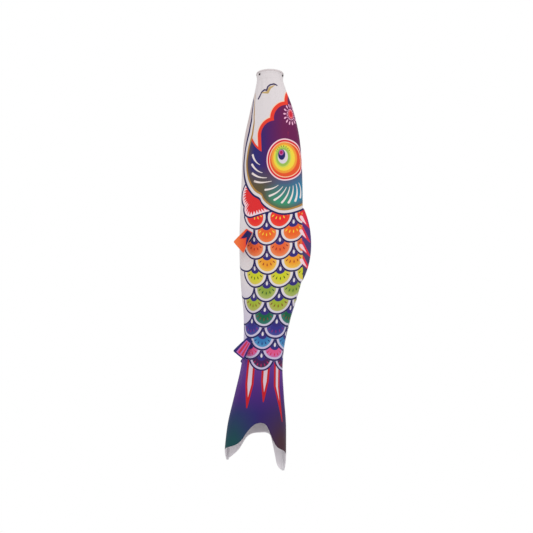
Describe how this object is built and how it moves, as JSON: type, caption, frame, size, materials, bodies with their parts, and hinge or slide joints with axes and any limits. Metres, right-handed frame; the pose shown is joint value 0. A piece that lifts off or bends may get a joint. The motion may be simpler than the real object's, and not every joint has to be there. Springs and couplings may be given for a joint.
{
  "type": "carp streamer",
  "caption": "Fish-shaped cloth windsock: printed body open at mouth and forked tail, flat hoop in the mouth hem, metal eyelets and loose side fins.",
  "frame": {"origin": "centre of the mouth rim, in the plane of its top edge", "axes": "+Z out of the mouth, so the body hangs down -Z; +X the fish's back, -X its belly; -Y its left side"},
  "size_m": [0.2116, 0.1144, 0.9946],
  "materials": {
    "hoop_plastic": "semi-matt white polypropylene band",
    "facing_cloth": "unprinted polyester hem",
    "printed_cloth": "screen-printed polyester, many colours on white",
    "fin_cloth": "screen-printed polyester",
    "eyelet_metal": "dark plated brass"
  },
  "bodies": {
    "front_body": {"mouth_hoop": "hoop_plastic", "mouth_facing": "facing_cloth", "eyelet_back": "eyelet_metal", "eyelet_left": "eyelet_metal", "eyelet_right": "eyelet_metal", "eyelet_washer_back": "eyelet_metal", "eyelet_washer_left": "eyelet_metal", "eyelet_washer_right": "eyelet_metal", "panel_front_left": "printed_cloth", "panel_front_right": "printed_cloth"},
    "rear_body": {"panel_rear_left": "printed_cloth", "panel_rear_right": "printed_cloth"},
    "pectoral_left": {"pectoral_fin_left": "fin_cloth"},
    "pectoral_right": {"pectoral_fin_right": "fin_cloth"},
    "ventral_left": {"ventral_fin_left": "fin_cloth"},
    "ventral_right": {"ventral_fin_right": "fin_cloth"}
  },
  "joints": [
    {"name": "body_sway", "type": "hinge", "parent": "front_body", "child": "rear_body", "pos_m": [0, 0, -0.56], "axis": [1, 0, 0], "range_deg": [-35, 35]},
    {"name": "pectoral_left_flap", "type": "hinge", "parent": "front_body", "child": "pectoral_left", "pos_m": [-0.0411, -0.0305, -0.40725], "axis": [-0.7609, 0.2481, 0.5996], "range_deg": [-15, 50], "stiffness_Nm_per_rad": 0.01},
    {"name": "pectoral_right_flap", "type": "hinge", "parent": "front_body", "child": "pectoral_right", "pos_m": [-0.0411, 0.0305, -0.40725], "axis": [0.7609, 0.2481, -0.5996], "range_deg": [-15, 50], "stiffness_Nm_per_rad": 0.01},
    {"name": "ventral_left_flap", "type": "hinge", "parent": "rear_body", "child": "ventral_left", "pos_m": [-0.0395, -0.02925, -0.681], "axis": [-0.6895, 0.2216, 0.6895], "range_deg": [-15, 50], "stiffness_Nm_per_rad": 0.01},
    {"name": "ventral_right_flap", "type": "hinge", "parent": "rear_body", "child": "ventral_right", "pos_m": [-0.04427, 0.02451, -0.681], "axis": [0.6215, 0.3137, -0.7178], "range_deg": [-15, 50], "stiffness_Nm_per_rad": 0.01}
  ]
}
